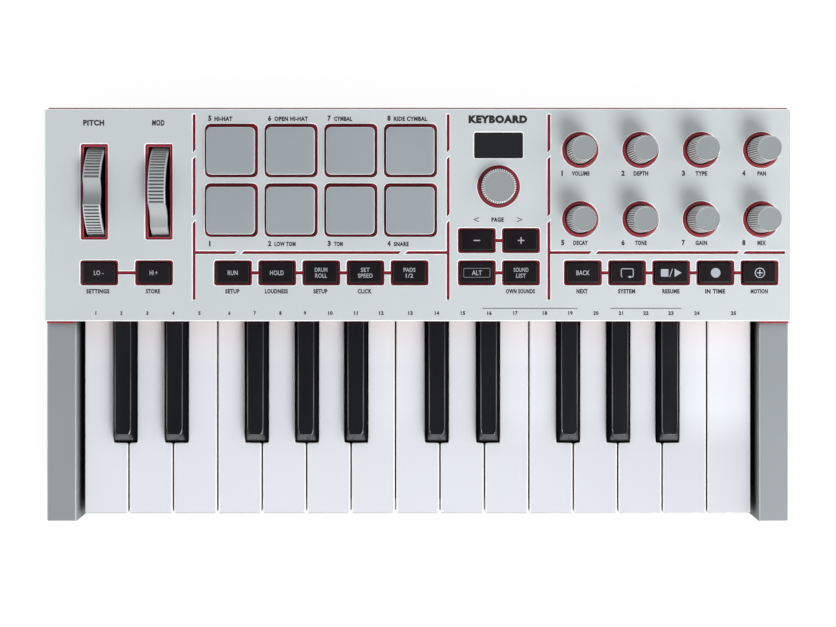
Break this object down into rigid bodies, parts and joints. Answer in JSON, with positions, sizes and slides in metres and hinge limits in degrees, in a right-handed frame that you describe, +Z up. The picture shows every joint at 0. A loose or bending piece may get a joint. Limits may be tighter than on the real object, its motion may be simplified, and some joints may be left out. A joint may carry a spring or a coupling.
{
  "type": "midi keyboard",
  "caption": "Compact desktop MIDI controller keyboard with slim piano keys, drum pads, rotary knobs, push buttons, two performance wheels, a clickable encoder and a small display.",
  "frame": {"origin": "on the surface it stands on, at the centre of its footprint", "axes": "+X to the player's right along the keys, +Y to the rear with the sockets, +Z up; the player sits at -Y"},
  "size_m": [0.35, 0.195, 0.0535],
  "materials": {
    "panel_white": "fine matte texture, pale cool white",
    "plate_red": "satin, deep red",
    "case_grey": "fine moulded texture, mid grey",
    "frame_dark": "moulded, near black",
    "board_green": "solder-masked glass-fibre board with its parts",
    "window_black": "polished smoked acrylic",
    "pad_silicone": "matte silicone, grey",
    "shaft_steel": "turned",
    "knob_grey": "satin, ribbed side",
    "wheel_grey": "satin, ribbed rim",
    "key_white": "gloss, white",
    "key_black": "gloss, black",
    "button_black": "satin, black"
  },
  "bodies": {
    "chassis": {"bottom_case": "case_grey", "top_panel": "panel_white", "accent_plate": "plate_red", "display_window": "window_black", "circuit_boards": "board_green", "key_frame": "frame_dark"},
    "pitch_wheel": {"pitch_wheel": "wheel_grey"},
    "mod_wheel": {"mod_wheel": "wheel_grey"},
    "pad_sheet": {"pad_sheet": "pad_silicone"},
    "encoder_shaft": {"encoder_shaft": "shaft_steel"},
    "encoder_knob": {"encoder_knob": "knob_grey"},
    "knob_1": {"knob_1": "knob_grey"},
    "knob_2": {"knob_2": "knob_grey"},
    "knob_3": {"knob_3": "knob_grey"},
    "knob_4": {"knob_4": "knob_grey"},
    "knob_5": {"knob_5": "knob_grey"},
    "knob_6": {"knob_6": "knob_grey"},
    "knob_7": {"knob_7": "knob_grey"},
    "knob_8": {"knob_8": "knob_grey"},
    "white_key_c1": {"white_key_c1": "key_white"},
    "white_key_e2": {"white_key_e2": "key_white"},
    "black_key_fs1": {"black_key_fs1": "key_black"},
    "black_key_as2": {"black_key_as2": "key_black"},
    "button_octave_down": {"button_octave_down": "button_black"},
    "button_octave_up": {"button_octave_up": "button_black"},
    "button_arpeggiator": {"button_arpeggiator": "button_black"},
    "button_latch": {"button_latch": "button_black"},
    "button_note_repeat": {"button_note_repeat": "button_black"},
    "button_tap_tempo": {"button_tap_tempo": "button_black"},
    "button_pad_bank": {"button_pad_bank": "button_black"},
    "button_minus": {"button_minus": "button_black"},
    "button_plus": {"button_plus": "button_black"},
    "button_shift": {"button_shift": "button_black"},
    "button_preset": {"button_preset": "button_black"},
    "button_undo": {"button_undo": "button_black"},
    "button_loop": {"button_loop": "button_black"},
    "button_play_stop": {"button_play_stop": "button_black"},
    "button_record": {"button_record": "button_black"},
    "button_overdub": {"button_overdub": "button_black"},
    "white_key_d1": {"white_key_d1": "key_white"},
    "white_key_e1": {"white_key_e1": "key_white"},
    "white_key_f1": {"white_key_f1": "key_white"},
    "white_key_g1": {"white_key_g1": "key_white"},
    "white_key_a1": {"white_key_a1": "key_white"},
    "white_key_b1": {"white_key_b1": "key_white"},
    "white_key_c2": {"white_key_c2": "key_white"},
    "white_key_d2": {"white_key_d2": "key_white"},
    "white_key_f2": {"white_key_f2": "key_white"},
    "white_key_g2": {"white_key_g2": "key_white"},
    "white_key_a2": {"white_key_a2": "key_white"},
    "white_key_b2": {"white_key_b2": "key_white"},
    "white_key_c3": {"white_key_c3": "key_white"},
    "black_key_cs1": {"black_key_cs1": "key_black"},
    "black_key_ds1": {"black_key_ds1": "key_black"},
    "black_key_gs1": {"black_key_gs1": "key_black"},
    "black_key_as1": {"black_key_as1": "key_black"},
    "black_key_cs2": {"black_key_cs2": "key_black"},
    "black_key_ds2": {"black_key_ds2": "key_black"},
    "black_key_fs2": {"black_key_fs2": "key_black"},
    "black_key_gs2": {"black_key_gs2": "key_black"}
  },
  "joints": [
    {"name": "pitch_wheel_turn", "type": "hinge", "parent": "chassis", "child": "pitch_wheel", "pos_m": [-0.1517, 0.0579, 0.0212], "axis": [-1, 0, 0], "range_deg": [-28, 28], "stiffness_Nm_per_rad": 0.03},
    {"name": "mod_wheel_turn", "type": "hinge", "parent": "chassis", "child": "mod_wheel", "pos_m": [-0.1214, 0.0579, 0.0212], "axis": [-1, 0, 0], "range_deg": [0, 56]},
    {"name": "drum_pads_press", "type": "slide", "parent": "chassis", "child": "pad_sheet", "axis": [0, 0, -1], "range_m": [0, 0.0005], "stiffness_N_per_m": 6000, "springref_m": -0.0003},
    {"name": "encoder_push", "type": "slide", "parent": "chassis", "child": "encoder_shaft", "axis": [0, 0, -1], "range_m": [0, 0.0005], "stiffness_N_per_m": 5000, "springref_m": -0.0002},
    {"name": "encoder_turn", "type": "hinge", "parent": "encoder_shaft", "child": "encoder_knob", "pos_m": [0.0379, 0.0604, 0.0366], "axis": [0, 0, 1], "continuous": true},
    {"name": "knob_1_turn", "type": "hinge", "parent": "chassis", "child": "knob_1", "pos_m": [0.0762, 0.0775, 0.036], "axis": [0, 0, 1], "continuous": true},
    {"name": "knob_2_turn", "type": "hinge", "parent": "chassis", "child": "knob_2", "pos_m": [0.1045, 0.0775, 0.036], "axis": [0, 0, 1], "continuous": true},
    {"name": "knob_3_turn", "type": "hinge", "parent": "chassis", "child": "knob_3", "pos_m": [0.1328, 0.0775, 0.036], "axis": [0, 0, 1], "continuous": true},
    {"name": "knob_4_turn", "type": "hinge", "parent": "chassis", "child": "knob_4", "pos_m": [0.1611, 0.0775, 0.036], "axis": [0, 0, 1], "continuous": true},
    {"name": "knob_5_turn", "type": "hinge", "parent": "chassis", "child": "knob_5", "pos_m": [0.0762, 0.045, 0.036], "axis": [0, 0, 1], "continuous": true},
    {"name": "knob_6_turn", "type": "hinge", "parent": "chassis", "child": "knob_6", "pos_m": [0.1045, 0.045, 0.036], "axis": [0, 0, 1], "continuous": true},
    {"name": "knob_7_turn", "type": "hinge", "parent": "chassis", "child": "knob_7", "pos_m": [0.1328, 0.045, 0.036], "axis": [0, 0, 1], "continuous": true},
    {"name": "knob_8_turn", "type": "hinge", "parent": "chassis", "child": "knob_8", "pos_m": [0.1611, 0.045, 0.036], "axis": [0, 0, 1], "continuous": true},
    {"name": "key_c1_press", "type": "hinge", "parent": "chassis", "child": "white_key_c1", "pos_m": [-0.1484, 0.0065, 0.021], "axis": [1, 0, 0], "range_deg": [0, 3.6], "stiffness_Nm_per_rad": 0.4, "springref_deg": -6.88},
    {"name": "key_e2_press", "type": "hinge", "parent": "chassis", "child": "white_key_e2", "pos_m": [0.0424, 0.0065, 0.021], "axis": [1, 0, 0], "range_deg": [0, 3.6], "stiffness_Nm_per_rad": 0.4, "springref_deg": -6.88},
    {"name": "key_fs1_press", "type": "hinge", "parent": "chassis", "child": "black_key_fs1", "pos_m": [-0.0767, 0.0065, 0.021], "axis": [1, 0, 0], "range_deg": [0, 3.6], "stiffness_Nm_per_rad": 0.3, "springref_deg": -6.88},
    {"name": "key_as2_press", "type": "hinge", "parent": "chassis", "child": "black_key_as2", "pos_m": [0.1191, 0.0065, 0.021], "axis": [1, 0, 0], "range_deg": [0, 3.6], "stiffness_Nm_per_rad": 0.3, "springref_deg": -6.88},
    {"name": "octave_down_press", "type": "slide", "parent": "chassis", "child": "button_octave_down", "axis": [0, 0, -1], "range_m": [0, 0.0008], "stiffness_N_per_m": 1500, "springref_m": -0.0003},
    {"name": "octave_up_press", "type": "slide", "parent": "chassis", "child": "button_octave_up", "axis": [0, 0, -1], "range_m": [0, 0.0008], "stiffness_N_per_m": 1500, "springref_m": -0.0003},
    {"name": "arpeggiator_press", "type": "slide", "parent": "chassis", "child": "button_arpeggiator", "axis": [0, 0, -1], "range_m": [0, 0.0008], "stiffness_N_per_m": 1500, "springref_m": -0.0003},
    {"name": "latch_press", "type": "slide", "parent": "chassis", "child": "button_latch", "axis": [0, 0, -1], "range_m": [0, 0.0008], "stiffness_N_per_m": 1500, "springref_m": -0.0003},
    {"name": "note_repeat_press", "type": "slide", "parent": "chassis", "child": "button_note_repeat", "axis": [0, 0, -1], "range_m": [0, 0.0008], "stiffness_N_per_m": 1500, "springref_m": -0.0003},
    {"name": "tap_tempo_press", "type": "slide", "parent": "chassis", "child": "button_tap_tempo", "axis": [0, 0, -1], "range_m": [0, 0.0008], "stiffness_N_per_m": 1500, "springref_m": -0.0003},
    {"name": "pad_bank_press", "type": "slide", "parent": "chassis", "child": "button_pad_bank", "axis": [0, 0, -1], "range_m": [0, 0.0008], "stiffness_N_per_m": 1500, "springref_m": -0.0003},
    {"name": "minus_press", "type": "slide", "parent": "chassis", "child": "button_minus", "axis": [0, 0, -1], "range_m": [0, 0.0008], "stiffness_N_per_m": 1500, "springref_m": -0.0003},
    {"name": "plus_press", "type": "slide", "parent": "chassis", "child": "button_plus", "axis": [0, 0, -1], "range_m": [0, 0.0008], "stiffness_N_per_m": 1500, "springref_m": -0.0003},
    {"name": "shift_press", "type": "slide", "parent": "chassis", "child": "button_shift", "axis": [0, 0, -1], "range_m": [0, 0.0008], "stiffness_N_per_m": 1500, "springref_m": -0.0003},
    {"name": "preset_press", "type": "slide", "parent": "chassis", "child": "button_preset", "axis": [0, 0, -1], "range_m": [0, 0.0008], "stiffness_N_per_m": 1500, "springref_m": -0.0003},
    {"name": "undo_press", "type": "slide", "parent": "chassis", "child": "button_undo", "axis": [0, 0, -1], "range_m": [0, 0.0008], "stiffness_N_per_m": 1500, "springref_m": -0.0003},
    {"name": "loop_press", "type": "slide", "parent": "chassis", "child": "button_loop", "axis": [0, 0, -1], "range_m": [0, 0.0008], "stiffness_N_per_m": 1500, "springref_m": -0.0003},
    {"name": "play_stop_press", "type": "slide", "parent": "chassis", "child": "button_play_stop", "axis": [0, 0, -1], "range_m": [0, 0.0008], "stiffness_N_per_m": 1500, "springref_m": -0.0003},
    {"name": "record_press", "type": "slide", "parent": "chassis", "child": "button_record", "axis": [0, 0, -1], "range_m": [0, 0.0008], "stiffness_N_per_m": 1500, "springref_m": -0.0003},
    {"name": "overdub_press", "type": "slide", "parent": "chassis", "child": "button_overdub", "axis": [0, 0, -1], "range_m": [0, 0.0008], "stiffness_N_per_m": 1500, "springref_m": -0.0003},
    {"name": "key_d1_press", "type": "hinge", "parent": "chassis", "child": "white_key_d1", "pos_m": [-0.1272, 0.0065, 0.021], "axis": [1, 0, 0], "range_deg": [0, 3.6], "stiffness_Nm_per_rad": 0.4, "springref_deg": -6.88},
    {"name": "key_e1_press", "type": "hinge", "parent": "chassis", "child": "white_key_e1", "pos_m": [-0.106, 0.0065, 0.021], "axis": [1, 0, 0], "range_deg": [0, 3.6], "stiffness_Nm_per_rad": 0.4, "springref_deg": -6.88},
    {"name": "key_f1_press", "type": "hinge", "parent": "chassis", "child": "white_key_f1", "pos_m": [-0.0848, 0.0065, 0.021], "axis": [1, 0, 0], "range_deg": [0, 3.6], "stiffness_Nm_per_rad": 0.4, "springref_deg": -6.88},
    {"name": "key_g1_press", "type": "hinge", "parent": "chassis", "child": "white_key_g1", "pos_m": [-0.0636, 0.0065, 0.021], "axis": [1, 0, 0], "range_deg": [0, 3.6], "stiffness_Nm_per_rad": 0.4, "springref_deg": -6.88},
    {"name": "key_a1_press", "type": "hinge", "parent": "chassis", "child": "white_key_a1", "pos_m": [-0.0424, 0.0065, 0.021], "axis": [1, 0, 0], "range_deg": [0, 3.6], "stiffness_Nm_per_rad": 0.4, "springref_deg": -6.88},
    {"name": "key_b1_press", "type": "hinge", "parent": "chassis", "child": "white_key_b1", "pos_m": [-0.0212, 0.0065, 0.021], "axis": [1, 0, 0], "range_deg": [0, 3.6], "stiffness_Nm_per_rad": 0.4, "springref_deg": -6.88},
    {"name": "key_c2_press", "type": "hinge", "parent": "chassis", "child": "white_key_c2", "pos_m": [0, 0.0065, 0.021], "axis": [1, 0, 0], "range_deg": [0, 3.6], "stiffness_Nm_per_rad": 0.4, "springref_deg": -6.88},
    {"name": "key_d2_press", "type": "hinge", "parent": "chassis", "child": "white_key_d2", "pos_m": [0.0212, 0.0065, 0.021], "axis": [1, 0, 0], "range_deg": [0, 3.6], "stiffness_Nm_per_rad": 0.4, "springref_deg": -6.88},
    {"name": "key_f2_press", "type": "hinge", "parent": "chassis", "child": "white_key_f2", "pos_m": [0.0636, 0.0065, 0.021], "axis": [1, 0, 0], "range_deg": [0, 3.6], "stiffness_Nm_per_rad": 0.4, "springref_deg": -6.88},
    {"name": "key_g2_press", "type": "hinge", "parent": "chassis", "child": "white_key_g2", "pos_m": [0.0848, 0.0065, 0.021], "axis": [1, 0, 0], "range_deg": [0, 3.6], "stiffness_Nm_per_rad": 0.4, "springref_deg": -6.88},
    {"name": "key_a2_press", "type": "hinge", "parent": "chassis", "child": "white_key_a2", "pos_m": [0.106, 0.0065, 0.021], "axis": [1, 0, 0], "range_deg": [0, 3.6], "stiffness_Nm_per_rad": 0.4, "springref_deg": -6.88},
    {"name": "key_b2_press", "type": "hinge", "parent": "chassis", "child": "white_key_b2", "pos_m": [0.1272, 0.0065, 0.021], "axis": [1, 0, 0], "range_deg": [0, 3.6], "stiffness_Nm_per_rad": 0.4, "springref_deg": -6.88},
    {"name": "key_c3_press", "type": "hinge", "parent": "chassis", "child": "white_key_c3", "pos_m": [0.1484, 0.0065, 0.021], "axis": [1, 0, 0], "range_deg": [0, 3.6], "stiffness_Nm_per_rad": 0.4, "springref_deg": -6.88},
    {"name": "key_cs1_press", "type": "hinge", "parent": "chassis", "child": "black_key_cs1", "pos_m": [-0.1393, 0.0065, 0.021], "axis": [1, 0, 0], "range_deg": [0, 3.6], "stiffness_Nm_per_rad": 0.3, "springref_deg": -6.88},
    {"name": "key_ds1_press", "type": "hinge", "parent": "chassis", "child": "black_key_ds1", "pos_m": [-0.1149, 0.0065, 0.021], "axis": [1, 0, 0], "range_deg": [0, 3.6], "stiffness_Nm_per_rad": 0.3, "springref_deg": -6.88},
    {"name": "key_gs1_press", "type": "hinge", "parent": "chassis", "child": "black_key_gs1", "pos_m": [-0.0528, 0.0065, 0.021], "axis": [1, 0, 0], "range_deg": [0, 3.6], "stiffness_Nm_per_rad": 0.3, "springref_deg": -6.88},
    {"name": "key_as1_press", "type": "hinge", "parent": "chassis", "child": "black_key_as1", "pos_m": [-0.0293, 0.0065, 0.021], "axis": [1, 0, 0], "range_deg": [0, 3.6], "stiffness_Nm_per_rad": 0.3, "springref_deg": -6.88},
    {"name": "key_cs2_press", "type": "hinge", "parent": "chassis", "child": "black_key_cs2", "pos_m": [0.0091, 0.0065, 0.021], "axis": [1, 0, 0], "range_deg": [0, 3.6], "stiffness_Nm_per_rad": 0.3, "springref_deg": -6.88},
    {"name": "key_ds2_press", "type": "hinge", "parent": "chassis", "child": "black_key_ds2", "pos_m": [0.0335, 0.0065, 0.021], "axis": [1, 0, 0], "range_deg": [0, 3.6], "stiffness_Nm_per_rad": 0.3, "springref_deg": -6.88},
    {"name": "key_fs2_press", "type": "hinge", "parent": "chassis", "child": "black_key_fs2", "pos_m": [0.0717, 0.0065, 0.021], "axis": [1, 0, 0], "range_deg": [0, 3.6], "stiffness_Nm_per_rad": 0.3, "springref_deg": -6.88},
    {"name": "key_gs2_press", "type": "hinge", "parent": "chassis", "child": "black_key_gs2", "pos_m": [0.0956, 0.0065, 0.021], "axis": [1, 0, 0], "range_deg": [0, 3.6], "stiffness_Nm_per_rad": 0.3, "springref_deg": -6.88}
  ]
}
